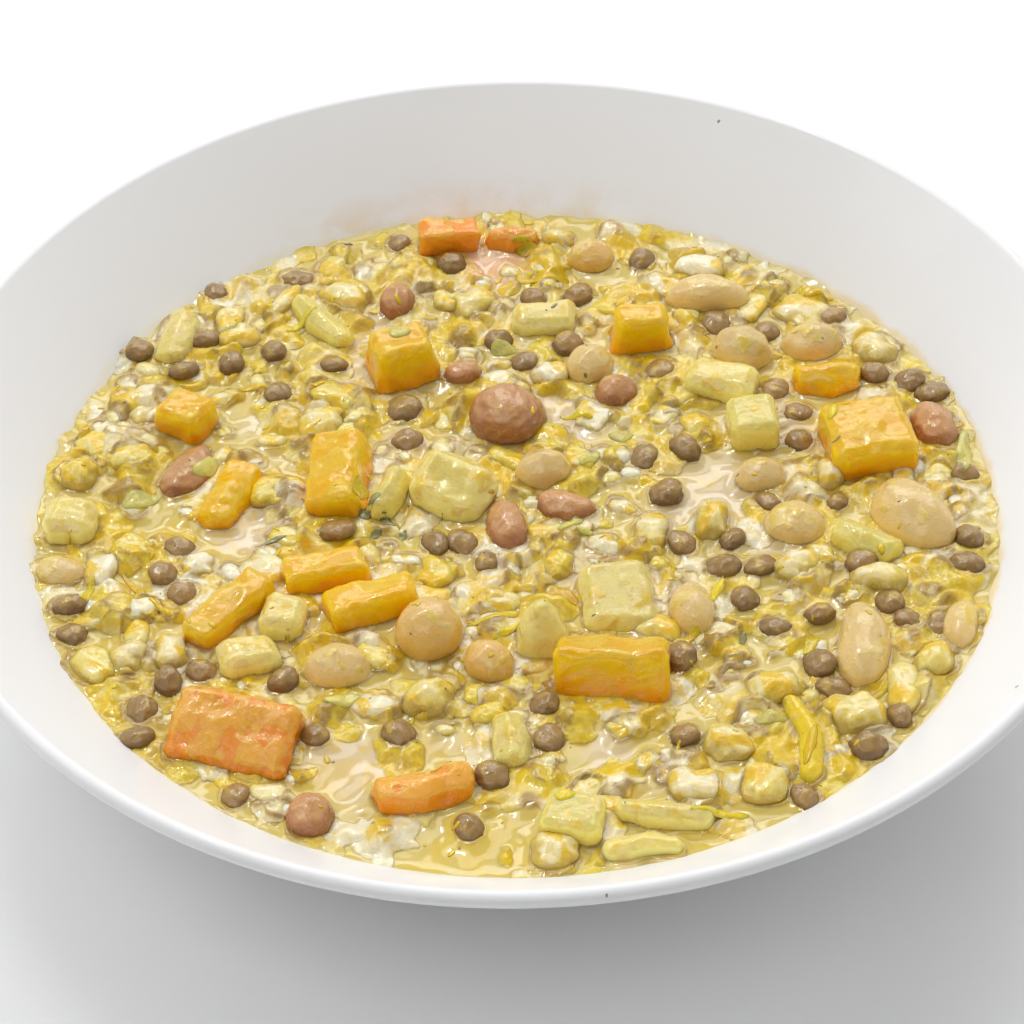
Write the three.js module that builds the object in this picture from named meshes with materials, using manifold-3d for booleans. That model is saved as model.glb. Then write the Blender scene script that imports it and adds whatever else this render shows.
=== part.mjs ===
// A wide glazed bowl of thick soup: lentils, beans, chickpeas, squash, carrot, potato and celery.
// Millimetres, +Z up. The origin is on the bowl's axis, at the level of the table.
// x runs to the right and y away from the side that faces the viewer.
import * as THREE from "three";
import { ConvexGeometry } from "three/addons/geometries/ConvexGeometry.js";
import { mergeVertices } from "three/addons/utils/BufferGeometryUtils.js";
import Module from "manifold-3d";

const wasm = await Module();
wasm.setup();

// The bowl
const rimRadius = 110;
const bowlHeight = 50;
const lipThickness = 3;
const wallThickness = 4;
const wallSlope = THREE.MathUtils.degToRad(44);
const wellArcRadius = 82;
const footRadius = 57;
const footWidth = 5;
const footHollow = 3.2;
const lowestWallRadius = 58;
const footChamfer = 0.6;
const roundSegments = 41;

// The soup
const soupLevel = 30.5;
const soupRadius = 88.5;
const gap = 0.3;
const wallClearance = 0.9;
const roomAboveRim = 30;

// How worn the pieces are: uneven faces that wave along and across, and edges cut back by a
// share of the shortest side
const wearDepth = 0.03;
const wearAlong = 2.3;
const wearAcross = 0.6;
const crispEdge = 0.12;
const softEdge = 0.2;

// A block whose top is as long and wide as its base
const noTaper = [1, 1];

// A bar's half outline, as shares of its width and length, and the sides of its section
const barProfile = [[0, -0.5], [0.42, -0.42], [0.5, 0], [0.42, 0.42], [0, 0.5]];
const barSides = 8;

// A chickpea's beak, as shares of the seed
const beakLength = 0.14;
const beakNarrowing = 0.35;

// The well's flat floor, where its arc ends
const floorRadius = soupRadius - wellArcRadius * Math.sin(wallSlope);
const floorHeight = soupLevel - wellArcRadius * (1 - Math.cos(wallSlope));

// Lentils and grains. A lentil's half outline is in shares of its diameter and thickness.
const lentilProfile = [[0, -0.5], [0.5, 0], [0.32, 0.38], [0, 0.5]];
const lentilSides = 6;
const lentilDiameter = 7;
const lentilSpread = [0.88, 1.06];
const lentilThickness = 3.4;
const lentilRise = [0.4, 1.1];
const lentilTip = [10, 32];
const lentilLean = [-15, 15];
const grainSpacing = 12.2;
const grainShake = 0.4;
const grainLength = [6, 9];
const grainRise = 2;
const grainMargin = 4;
const sinkDepth = 0.15;

const finishes = {
  glaze: { color: 0xf1f0ee, roughness: 0.15 },
  soup: { color: 0xdcc790, roughness: 0.35 },
  squash: { color: 0xe09a12, roughness: 0.4 },
  carrot: { color: 0xd98232, roughness: 0.4 },
  redBean: { color: 0x95603f, roughness: 0.35 },
  paleBean: { color: 0xe0c08c, roughness: 0.4 },
  chickpea: { color: 0xd6a968, roughness: 0.4 },
  potato: { color: 0xe0d08a, roughness: 0.45 },
  celery: { color: 0xd3c56a, roughness: 0.4 },
};

// Large pieces by their form. at is x and y; size is length, width and height.
// rise is how far the top stands out of the soup. turn, tip and lean are degrees
// about the upright, the length and the width. bend bows a piece sideways.
// taper is the length and width of the top as shares of those below.
// Cut cubes
const blocks = {
  squash_left_back: { at: [-62.6, 25.8], size: [11.5, 10, 11], rise: 6.5, turn: -32, taper: [0.8, 0.8] },
  squash_centre_back: { at: [-21.8, 40.3], size: [13.5, 11.5, 14], rise: 9.5, turn: 22, taper: [0.8, 0.75] },
  squash_right_back: { at: [25, 48.4], size: [14, 9, 12.5], rise: 8, turn: 6, taper: [0.66, 0.65] },
  squash_block_right: { at: [66.8, 16.2], size: [16.5, 15.5, 13], rise: 7.5, turn: 10 },
  squash_block_front: { at: [16.6, -43.5], size: [19.5, 8.5, 14], rise: 9, turn: -5, tip: -22, lean: -3 },
  squash_upright_left: { at: [-32.5, 8.6], size: [19.5, 9.5, 11], rise: 7, turn: 85, tip: -22 },
  squash_strip_left: { at: [-52, -26.2], size: [19.5, 7, 9], rise: 5, turn: 52 },
  squash_middle_left: { at: [-35, -16.6], size: [16.5, 8, 9], rise: 5, turn: 14, taper: [0.92, 0.8] },
  squash_middle_front: { at: [-26, -25], size: [16.5, 7.5, 10], rise: 5.5, turn: 20, tip: -14 },
  carrot_chunk_left: { at: [-49.2, -56], size: [22, 13.8, 11], rise: 7.5, turn: -17, tip: 25 },
  carrot_back_left: { at: [-12.8, 79.2], size: [11.5, 6, 9], rise: 5.5, turn: 8 },
  potato_centre: { at: [-11.8, 5.7], size: [14.5, 12, 11], rise: 7.5, turn: -26, tip: 18, lean: 8 },
  potato_right_flat: { at: [17.6, -23.4], size: [14, 16, 9.5], rise: 4.5, turn: 8, tip: 8, lean: 6 },
  potato_wedge_middle: { at: [4.2, -33.2], size: [12.5, 12.5, 14], rise: 10, turn: 8, taper: [0.25, 0.3] },
  potato_wedge_left: { at: [-82.4, -2.4], size: [9.5, 9, 9], rise: 5.5, turn: -6 },
  potato_lump_left: { at: [-42, -27.9], size: [9.4, 8, 9], rise: 5, turn: 78 },
  potato_lump_left_front: { at: [-48, -37.3], size: [10.5, 8, 8.5], rise: 4.5, turn: 12 },
  potato_lump_right: { at: [39.8, 34.4], size: [13.5, 8.5, 9], rise: 5, turn: -20 },
  potato_lump_back: { at: [6, 53.8], size: [12.5, 8, 8], rise: 4.5, turn: 5 },
  celery_block_right: { at: [45, 21], size: [9.5, 10.5, 11], rise: 6.5, turn: 5 },
  celery_chunk_front: { at: [9, -77], size: [10.3, 8.5, 10], rise: 5, turn: -14 },
};

// Bent sticks
const bars = {
  squash_behind_block: { at: [60.5, 35], size: [13.5, 8, 9], rise: 5, turn: 4, bend: 1 },
  squash_long_left: { at: [-53.4, 5.2], size: [18, 9, 9], rise: 4.5, turn: 70, bend: 1 },
  carrot_crescent_front: { at: [-16.8, -69.8], size: [18.5, 8, 9], rise: 5, turn: 12, bend: 2 },
  carrot_back_right: { at: [0, 79], size: [11.5, 5.5, 8], rise: 4.5, turn: -3, bend: 0.8 },
  potato_slab_back_left: { at: [-66, 50.5], size: [15, 8, 7], rise: 4, turn: 78, bend: 0.6 },
  potato_lump_front: { at: [-2, -58.2], size: [12.5, 7, 8], rise: 4, turn: 94, bend: 0.8 },
  potato_strip_front: { at: [24.6, -76.2], size: [18, 5.2, 7.5], rise: 4, turn: -7, bend: 0.8 },
  potato_strip_edge: { at: [20.4, -83], size: [13.5, 5, 6], rise: 3, turn: 4, bend: -0.6 },
  celery_upright_left: { at: [-23.9, 3.6], size: [12, 5.5, 8.5], rise: 5.5, turn: 70, bend: 0.6 },
  celery_pale_right: { at: [63.6, -10.4], size: [14, 7.2, 8], rise: 4.5, turn: -34, bend: 1 },
  celery_strip_back: { at: [-38, 54.6], size: [18, 6, 7], rise: 4, turn: -52, bend: 0.8 },
  leek_strip_front: { at: [49.2, -58.4], size: [21, 4.5, 6], rise: 3.5, turn: -82, bend: -2.6 },
};

// Oval beans
const beans = {
  borlotti_centre: { at: [-1.3, 25], size: [15.5, 13, 13], rise: 8, turn: -4, fine: true },
  borlotti_left: { at: [-61.4, 12.2], size: [16.5, 9.8, 9.5], rise: 4, turn: 64, bend: 1 },
  borlotti_split_back: { at: [-23, 60.5], size: [9.5, 7.5, 8.5], rise: 5, turn: 70 },
  borlotti_small_back: { at: [-10, 39], size: [8.5, 6.5, 7], rise: 3.5, turn: 20 },
  borlotti_back_right: { at: [19.6, 32.3], size: [9.5, 8, 8], rise: 4.5, turn: 35 },
  borlotti_right: { at: [79.6, 21.8], size: [13.5, 9, 9.5], rise: 5, turn: -72, bend: 0.8 },
  borlotti_round_front: { at: [-35.8, -75], size: [9, 8.5, 8.5], rise: 5, turn: 0 },
  borlotti_peeled: { at: [9.4, 1], size: [13, 8, 8.5], rise: 4, turn: -18, bend: 1.6 },
  borlotti_split_centre: { at: [-2, -4.2], size: [13.5, 8.5, 9], rise: 5, turn: 98 },
  white_bean_back: { at: [38.3, 60.3], size: [17, 8.5, 9], rise: 5.5, turn: -3, bend: -1.6, fine: true },
  white_bean_tan_back: { at: [44, 43.6], size: [12.5, 10.5, 11], rise: 7, turn: -28 },
  white_bean_tan_back_right: { at: [58, 46], size: [13, 10, 10.5], rise: 5.5, turn: 6 },
  white_bean_tan_centre: { at: [51.3, -4.8], size: [12.5, 10, 10], rise: 5, turn: -12 },
  white_bean_big_right: { at: [73.6, -3.6], size: [20, 13, 12.5], rise: 7, turn: -60, bend: 1.2, fine: true },
  white_bean_upright: { at: [61, -36.5], size: [20, 10.5, 11], rise: 6, turn: 84, bend: 1, fine: true },
  white_bean_centre: { at: [5, 10.6], size: [11, 9, 10], rise: 5.5, turn: 8 },
  white_bean_left_edge: { at: [-83.8, -14], size: [10, 7.5, 7], rise: 3.5, turn: -12 },
  white_bean_tan_left: { at: [-32.4, -40], size: [13, 9.5, 10], rise: 5.5, turn: 6 },
  white_bean_skin_back: { at: [14.6, 40], size: [10, 8.5, 9], rise: 6, turn: 42 },
  white_bean_yellow: { at: [46, 8.2], size: [10, 8, 8.5], rise: 5, turn: 10 },
  white_bean_right_edge: { at: [79.4, -31.3], size: [12, 7, 8], rise: 4, turn: 74, bend: -0.8 },
  white_bean_pale_right: { at: [31.2, -26.6], size: [13, 8.5, 9], rise: 5, turn: 96 },
};

// Round chickpeas, with a beak
const peas = {
  chickpea_large: { at: [-16, -32.9], size: [12.8, 12, 12], rise: 8.4, turn: 68, fine: true },
  chickpea_small: { at: [-5.6, -39.2], size: [9.6, 9, 9], rise: 5.5, turn: -40 },
  chickpea_back: { at: [16, 73.5], size: [9.5, 8.8, 9], rise: 5, turn: 200 },
};

const forms = { block: blocks, bar: bars, bean: beans, pea: peas };
const largePieces = Object.entries(forms).flatMap(([form, pieces]) =>
  Object.entries(pieces).map(([name, piece]) => ({ name, form, ...piece })),
);

// Smaller pieces that are one with the soup, each with its x, y, length, width, rise and turn
const smallPieces = [
  [-45.9, 5.6, 7, 7, 3, 0],
  [7.6, -14.5, 6, 7, 3.5, 0],
  [-72.6, 15.6, 8, 7, 3.5, 10],
  [37.4, 70, 10, 6.5, 3, 0],
  [9.2, 79.6, 7, 6, 3.5, 0],
  [5.6, -83.2, 8, 7.5, 3.2, 0],
  [36, -3.8, 8.5, 6, 4, 90],
  [24.6, -6.2, 10, 7, 3, 85],
  [-16, -48.4, 8.5, 7.5, 4, 0],
  [30, -69.6, 8, 7.5, 4, 0],
  [-45.4, 61, 12, 4.5, 3, 62],
  [-82, 11.2, 7, 7, 4, 0],
  [67.4, -47, 11, 6, 3, 80],
  [73, -40.6, 10, 6.5, 4, 66],
  [65.5, -20, 10.5, 7, 4.5, 0],
  [-75.6, -38, 9, 6.5, 3, -60],
  [-69.4, -36.6, 8.5, 6.5, 3.6, 80],
  [-62, -35.6, 8, 6, 3.4, 95],
  [58.4, -53, 10, 9, 4, 20],
  [44.6, -46.6, 11, 8.5, 4, 15],
  [36, -59.6, 8, 8, 3.6, 0],
  [41.6, -69.4, 8, 8, 3.6, 0],
  [70, 44.6, 9.5, 8, 3.6, 0],
  [56.5, 55.5, 11, 9, 2.6, -40],
  [51, -16.6, 7, 7, 3.4, 60],
  [58.6, 8.4, 7.5, 6.5, 3.6, 80],
  [-53.6, 50.8, 8, 6, 3, 0],
  [-55.8, 55.6, 8.5, 5, 3, 85],
  [-33, 62.4, 11, 8, 3.4, -20],
  [-8, 60, 9, 7.5, 3.4, 40],
];

// Where the lentils lie, each with its x and y
const lentilPlaces = [
  [-59, 65], [-43, 69], [-60.5, 50.5], [-47, 46.5], [-55, 42.5], [-35, 42.5], [-73, 47], [-45.5, 34.5],
  [-64, 41], [-23, 79.5], [-12, 72.5], [4, 61], [13, 62], [26, 72.5], [-3, 48.5], [2, 42.5],
  [10.5, 47], [28, 40], [40, 53], [49, 50], [62.5, 54.5], [69.5, 37], [76, 35], [80, 31.5],
  [50, 33], [54, 27], [54, 18.5], [84, 8], [83, -9], [82, -16], [59.5, 1.5], [32, 16],
  [39.5, -8.5], [37.5, -15], [44, -15], [41, -24], [54, -28.5], [46, -31], [70, -29.5], [67, -25.5],
  [47, 1.5], [30.5, -9.5], [63, -15], [-21, 29], [-20.5, 20], [-15, -8], [-9.5, -8], [-5.5, -13.5],
  [24, 14.5], [28, 4], [-64.5, -15.5], [-62, -8.5], [-60.5, -20.5], [-81, -23], [-80, -30.5],
  [-33, -4.8], [-56, -39.5], [-62, -43], [-41.5, -43], [-66.5, -49], [-66.5, -56], [-49, -69.5],
  [-36, -56], [28.5, -39], [28.5, -57.5], [5, -58], [4, -49.5], [-21, -56], [-5, -66.5], [-9, -78],
  [53, -41], [55.5, -46.5], [60, -61], [66, -53.5], [48.5, -72], [75.5, -31],
];

// A run of pseudo-random numbers from 0 to 1 that is the same each time
function seededRandom(seed) {
  let state = seed;
  return () => {
    state = (state * 16807) % 2147483647;
    return state / 2147483647;
  };
}

const angle = THREE.MathUtils.degToRad;

function between([low, high], share) {
  return THREE.MathUtils.lerp(low, high, share);
}

// A three.js geometry as a solid that can be cut and joined
function toSolid(geometry) {
  const bare = geometry.index ? geometry.toNonIndexed() : geometry.clone();
  bare.deleteAttribute("normal");
  bare.deleteAttribute("uv");
  const merged = mergeVertices(bare, 1e-4);
  return new wasm.Manifold(
    new wasm.Mesh({
      numProp: 3,
      vertProperties: new Float32Array(merged.attributes.position.array),
      triVerts: new Uint32Array(merged.index.array),
    }),
  );
}

function toGeometry(solid) {
  const mesh = solid.getMesh();
  const geometry = new THREE.BufferGeometry();
  geometry.setAttribute("position", new THREE.BufferAttribute(mesh.vertProperties, 3));
  geometry.setIndex(new THREE.BufferAttribute(mesh.triVerts, 1));
  geometry.computeVertexNormals();
  return geometry;
}

// Points of the well's inner face from the axis up to a height, moved inwards by a distance
function wellProfile(inset, topHeight) {
  const points = [
    new THREE.Vector2(0, floorHeight + inset),
    new THREE.Vector2(floorRadius, floorHeight + inset),
  ];
  const arcSteps = 5;
  for (let step = 1; step <= arcSteps; step++) {
    const slope = (wallSlope * step) / arcSteps;
    points.push(
      new THREE.Vector2(
        floorRadius + (wellArcRadius - inset) * Math.sin(slope),
        floorHeight + wellArcRadius - (wellArcRadius - inset) * Math.cos(slope),
      ),
    );
  }
  const last = points[points.length - 1];
  const rest = topHeight - last.y;
  if (Math.abs(rest) > gap / 100) {
    points.push(new THREE.Vector2(last.x + rest / Math.tan(wallSlope), topHeight));
  }
  return points;
}

// Turns a profile of radius and height about the upright axis
function latheSolid(points) {
  const geometry = new THREE.LatheGeometry(points, roundSegments);
  geometry.rotateX(Math.PI / 2);
  return toSolid(geometry);
}

// The lip is a half round between the wall's two faces
function lipProfile() {
  const radius = lipThickness / 2;
  const steps = 4;
  const points = [];
  for (let step = 0; step <= steps; step++) {
    const around = wallSlope - Math.PI / 2 + (Math.PI * step) / steps;
    points.push(
      new THREE.Vector2(
        rimRadius - radius + radius * Math.cos(around),
        bowlHeight - radius + radius * Math.sin(around),
      ),
    );
  }
  return points;
}

// The outside follows the well at the wall's thickness, down to the foot ring
function outsideProfile() {
  const wall = wellProfile(-wallThickness, soupLevel).filter((point) => point.x > lowestWallRadius);
  const footInside = footRadius - footWidth;
  return [
    new THREE.Vector2(0, footHollow),
    new THREE.Vector2(footInside - footChamfer, footHollow),
    new THREE.Vector2(footInside, footChamfer),
    new THREE.Vector2(footInside + footChamfer, 0),
    new THREE.Vector2(footRadius - footChamfer, 0),
    new THREE.Vector2(footRadius, footChamfer),
    new THREE.Vector2(lowestWallRadius, footHollow + wallThickness),
    ...wall,
  ];
}

function bowlSolid() {
  const inside = wellProfile(0, soupLevel);
  return latheSolid([...outsideProfile(), ...lipProfile(), ...inside.reverse()]);
}

// The space inside the bowl that food can fill, kept off the wall by a distance
function roomInBowl(inset) {
  const top = bowlHeight + roomAboveRim;
  const points = wellProfile(inset, top);
  points.push(new THREE.Vector2(0, top));
  return latheSolid(points);
}

// Narrows a block towards its top
function narrowTop(geometry, height, [lengthShare, widthShare]) {
  const position = geometry.attributes.position;
  for (let i = 0; i < position.count; i++) {
    const up = position.getZ(i) / height + 0.5;
    position.setX(i, position.getX(i) * between([1, lengthShare], up));
    position.setY(i, position.getY(i) * between([1, widthShare], up));
  }
  return geometry;
}

// A cut cube with its edges and corners worn round: three points stand round each corner
function blockGeometry([length, width, height], edge) {
  const worn = edge * Math.min(length, width, height);
  const points = [];
  for (const right of [-1, 1]) {
    for (const back of [-1, 1]) {
      for (const up of [-1, 1]) {
        for (let out = 0; out < 3; out++) {
          const inset = [0, 1, 2].map((axis) => (axis === out ? 0 : worn));
          points.push(
            new THREE.Vector3(
              right * (length / 2 - inset[0]),
              back * (width / 2 - inset[1]),
              up * (height / 2 - inset[2]),
            ),
          );
        }
      }
    }
  }
  return new ConvexGeometry(points);
}

function beanGeometry([length, width, height], fine) {
  const geometry = fine ? new THREE.IcosahedronGeometry(1, 1) : new THREE.SphereGeometry(1, 8, 4);
  return geometry.scale(length / 2, width / 2, height / 2);
}

// A chickpea is round, with a beak at one end and a groove that runs up to it
function peaGeometry(size, fine) {
  const geometry = beanGeometry(size, fine);
  const position = geometry.attributes.position;
  const half = size[0] / 2;
  for (let i = 0; i < position.count; i++) {
    const beak = Math.max(0, position.getX(i) / half) ** 6;
    const cheek = 1 - beakNarrowing * beak;
    position.setXYZ(
      i,
      position.getX(i) * (1 + beakLength * beak),
      position.getY(i) * cheek,
      position.getZ(i) * cheek,
    );
  }
  return geometry;
}

// A stick with an oval section and blunt ends
function barGeometry([length, width, height]) {
  const profile = barProfile.map(([across, along]) => new THREE.Vector2(across, along));
  const geometry = new THREE.LatheGeometry(profile, barSides);
  geometry.rotateZ(-Math.PI / 2);
  return geometry.scale(length, width, height);
}

// Bows a piece sideways by a distance, and makes it a little uneven in its own way
function bowAndWear(geometry, length, bend, wear, seed) {
  const position = geometry.attributes.position;
  const point = new THREE.Vector3();
  for (let i = 0; i < position.count; i++) {
    point.fromBufferAttribute(position, i);
    const along = (2 * point.x) / length;
    const wave = Math.sin(wearAlong * along + seed) + Math.sin(wearAcross * point.y + 2 * seed);
    point.multiplyScalar(1 + wear * wave);
    point.y += bend * (along * along - 0.5);
    position.setXYZ(i, point.x, point.y, point.z);
  }
  return geometry;
}

function formGeometry(piece, size) {
  const edge = piece.name.startsWith("potato") ? softEdge : crispEdge;
  if (piece.form === "block") {
    return narrowTop(blockGeometry(size, edge), size[2], piece.taper ?? noTaper);
  }
  if (piece.form === "bar") return barGeometry(size);
  if (piece.form === "pea") return peaGeometry(size, piece.fine);
  return beanGeometry(size, piece.fine);
}

function turnGeometry(geometry, piece) {
  geometry.rotateX(angle(piece.tip ?? 0));
  geometry.rotateY(angle(piece.lean ?? 0));
  return geometry.rotateZ(angle(piece.turn));
}

// A piece's own form round the origin, grown by a distance all round
function wornGeometry(piece, seed, grow) {
  const size = piece.size.map((side) => side + 2 * grow);
  const geometry = formGeometry(piece, size);
  return turnGeometry(bowAndWear(geometry, size[0], piece.bend ?? 0, wearDepth, seed), piece);
}

// A plain box that a worn cut cube fits into
function boxRound(piece, grow) {
  const size = piece.size.map((side) => side * (1 + 2 * wearDepth) + 2 * grow);
  const box = new THREE.BoxGeometry(...size);
  return turnGeometry(narrowTop(box, size[2], piece.taper ?? noTaper), piece);
}

// The height at which a piece stands out of the soup as far as it says
function heightOf(piece, seed) {
  const geometry = wornGeometry(piece, seed, 0);
  geometry.computeBoundingBox();
  return soupLevel + piece.rise - geometry.boundingBox.max.z;
}

function pieceSolid(piece, seed) {
  const geometry = wornGeometry(piece, seed, 0);
  return toSolid(geometry.translate(...piece.at, heightOf(piece, seed)));
}

// The hollow that a piece leaves in the soup
function hollowSolid(piece, seed) {
  const geometry = piece.form === "block" ? boxRound(piece, gap) : wornGeometry(piece, seed, gap);
  return toSolid(geometry.translate(...piece.at, heightOf(piece, seed)));
}

// A lens, with a plain cone below where it is sunk
function lentilGeometry(diameter, thickness) {
  const profile = lentilProfile.map(([across, up]) => new THREE.Vector2(across, up));
  const geometry = new THREE.LatheGeometry(profile, lentilSides).rotateX(Math.PI / 2);
  return geometry.scale(diameter, diameter, thickness);
}

// Lentils lie nearly flat, most of them tipped a little towards the viewer
function lentilSolids(random) {
  return lentilPlaces.map(([x, y]) => {
    const geometry = lentilGeometry(lentilDiameter * between(lentilSpread, random()), lentilThickness);
    geometry.rotateZ(Math.PI * random());
    geometry.rotateX(angle(between(lentilTip, random())));
    geometry.rotateY(angle(between(lentilLean, random())));
    return toSolid(geometry.translate(x, y, soupLevel + between(lentilRise, random())));
  });
}

function smallPieceSolids() {
  return smallPieces.map(([x, y, length, width, rise, turn]) => {
    const geometry = beanGeometry([length, width, 2 * rise], false);
    return toSolid(geometry.rotateZ(angle(turn)).translate(x, y, soupLevel - sinkDepth));
  });
}

// True where nothing that is already laid comes nearer than its own reach plus a margin
function isFree(x, y, margin) {
  const farFrom = (px, py, reach) => Math.hypot(x - px, y - py) > reach + margin;
  return (
    Math.hypot(x, y) < soupRadius - grainMargin &&
    largePieces.every(({ at, size }) => farFrom(...at, (size[0] + size[1]) / 4)) &&
    smallPieces.every(([px, py, length, width]) => farFrom(px, py, (length + width) / 4)) &&
    lentilPlaces.every(([px, py]) => farFrom(px, py, lentilDiameter / 2))
  );
}

// Grains and soft lumps fill the free soup on a shaken grid
function grainSolids(random) {
  const solids = [];
  const rows = Math.floor(soupRadius / grainSpacing);
  for (let row = -rows; row <= rows; row++) {
    for (let column = -rows; column <= rows; column++) {
      const x = (column + 0.5 * (row % 2) + grainShake * (random() - 0.5)) * grainSpacing;
      const y = (row + grainShake * (random() - 0.5)) * grainSpacing;
      const length = between(grainLength, random());
      const turn = Math.PI * random();
      if (!isFree(x, y, length / 3)) continue;
      const geometry = new THREE.IcosahedronGeometry(1, 0).scale(length / 2, length / 3, grainRise);
      solids.push(toSolid(geometry.rotateZ(turn).translate(x, y, soupLevel - sinkDepth)));
    }
  }
  return solids;
}

// The soup fills the well up to its level, with the small things fused on and the large ones cut out
function soupSolid(hollows) {
  const random = seededRandom(41);
  const room = roomInBowl(wallClearance);
  const surface = wellProfile(gap, soupLevel);
  surface.push(new THREE.Vector2(0, soupLevel));
  let soup = latheSolid(surface);
  for (const small of [...smallPieceSolids(), ...lentilSolids(random), ...grainSolids(random)]) {
    soup = soup.add(small.intersect(room));
  }
  for (const hollow of hollows) {
    soup = soup.subtract(hollow);
  }
  const bodies = soup.decompose().sort((a, b) => b.volume() - a.volume());
  return bodies[0];
}

function finishOf(name) {
  if (name.startsWith("squash")) return finishes.squash;
  if (name.startsWith("carrot")) return finishes.carrot;
  if (name.startsWith("borlotti")) return finishes.redBean;
  if (name.startsWith("white_bean")) return finishes.paleBean;
  if (name.startsWith("chickpea")) return finishes.chickpea;
  if (name.startsWith("potato")) return finishes.potato;
  return finishes.celery;
}

function addMesh(group, name, solid, finish) {
  const material = new THREE.MeshStandardMaterial({ ...finish, metalness: 0 });
  const mesh = new THREE.Mesh(toGeometry(solid), material);
  mesh.name = name;
  group.add(mesh);
}

const soupBowl = new THREE.Group();
const room = roomInBowl(gap);
const hollows = [];
largePieces.forEach((piece, index) => {
  const seed = index + 1;
  addMesh(soupBowl, piece.name, pieceSolid(piece, seed).intersect(room), finishOf(piece.name));
  hollows.push(hollowSolid(piece, seed));
});
addMesh(soupBowl, "bowl", bowlSolid(), finishes.glaze);
addMesh(soupBowl, "soup", soupSolid(hollows), finishes.soup);

export default soupBowl;
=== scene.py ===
import math

import bmesh
import bpy
import numpy as np
from mathutils import Matrix, Vector
from mathutils.bvhtree import BVHTree


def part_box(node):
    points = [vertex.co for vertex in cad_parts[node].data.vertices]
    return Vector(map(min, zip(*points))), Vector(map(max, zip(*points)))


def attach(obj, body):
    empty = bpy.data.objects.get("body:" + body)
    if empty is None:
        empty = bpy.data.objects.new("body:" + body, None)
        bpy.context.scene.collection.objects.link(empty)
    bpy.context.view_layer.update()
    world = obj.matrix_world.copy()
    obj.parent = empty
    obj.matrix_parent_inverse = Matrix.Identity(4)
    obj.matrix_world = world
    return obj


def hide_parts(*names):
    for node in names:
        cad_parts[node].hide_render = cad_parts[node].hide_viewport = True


# A white bowl of legume and vegetable soup. Lengths are millimetres until a mesh is made.
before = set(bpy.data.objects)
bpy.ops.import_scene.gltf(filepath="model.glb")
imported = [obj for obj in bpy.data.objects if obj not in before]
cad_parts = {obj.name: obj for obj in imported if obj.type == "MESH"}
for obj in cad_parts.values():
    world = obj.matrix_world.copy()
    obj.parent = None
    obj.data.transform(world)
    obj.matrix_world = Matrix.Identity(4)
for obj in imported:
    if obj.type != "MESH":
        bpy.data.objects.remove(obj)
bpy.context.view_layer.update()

METRES = 0.001

# The bowl
RIM_RADIUS = 110.0
BOWL_HEIGHT = 50.0
LIP_THICKNESS = 3.0
WALL_THICKNESS = 4.0
WALL_SLOPE = math.radians(44)
WELL_ARC_RADIUS = 82.0
FOOT_RADIUS = 57.0
FOOT_WIDTH = 5.0
FOOT_HOLLOW = 3.2
FOOT_CHAMFER = 0.6

# The soup
SOUP_LEVEL = 30.5
SOUP_RADIUS = 88.5
SOUP_CELLS = 304
MENISCUS_HEIGHT = 1.2
MENISCUS_REACH = 1.5
CLOD_COUNT = 1000
CLOD_LENGTH = (3.0, 12.0)
CLOD_BLEND = 0.14

# The liquid's edge goes a little into the wall, and its film climbs the wall
SOUP_EDGE = SOUP_RADIUS + 0.35
SOUP_IN_WALL = 0.2
EDGE_CLIMB = 0.65
EDGE_REACH = 1.2

# The well's flat floor, where the round of its wall begins
FLOOR_RADIUS = SOUP_RADIUS - WELL_ARC_RADIUS * math.sin(WALL_SLOPE)
FLOOR_HEIGHT = SOUP_LEVEL - WELL_ARC_RADIUS * (1 - math.cos(WALL_SLOPE))

# How many parts the curves of the bowl and of the liquid's side are made of
BOWL_SIDES = 240
FLOOR_STEPS = 4
WELL_STEPS = 24
LIP_STEPS = 12
FOOT_STEPS = 3
SOUP_SIDE_STEPS = 5

# How far down from the top a lump is made, as an angle at its middle
DOME_SLOPE = math.radians(112)

# The share of a surface's fine relief that shows in the film on it, and how both shine
FILM_RELIEF = 0.36
FILM_ROUGHNESS = 0.07
FOOD_SPECULAR = 0.08

# Stains: a peach one on the soup, and one on the inside of the far wall
PEACH_PLACE = (-4, 73, SOUP_LEVEL)
PEACH_REACH = (4.0, 11.0)
WALL_STAIN_MIDDLE = -8.0
WALL_STAIN_HEIGHT = 7.0

# The start of all that is drawn at random
SEED = 11

# The camera, as fitted to the photograph: position, then pitch, yaw and roll in radians
CAMERA_PLACE = (0.0, -472.516, 476.541)
CAMERA_PITCH = 0.755837
CAMERA_YAW = -0.0017662
CAMERA_ROLL = -0.0172481
FOCAL_PIXELS = 3500.0
PHOTO_PIXELS = 1024.0
SENSOR_WIDTH = 36.0

# How far the floor reaches each way, in metres
FLOOR_REACH = 3.0

# Lamps aimed at the bowl, with place, width and length in metres and power in watts
LAMPS = {
    "top_lamp": ((-0.2, 0.5, 1.25), 2.4, 0.5, 9.2),
    "back_panel": ((0.05, 1.22, 0.98), 1.2, 0.45, 6.0),
    "front_lamp": ((-0.3, -0.7, 1.2), 1.0, 0.6, 2.9),
    "small_lamp": ((-0.3, 0.5, 1.3), 0.3, 0.12, 2.4),
}

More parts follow.
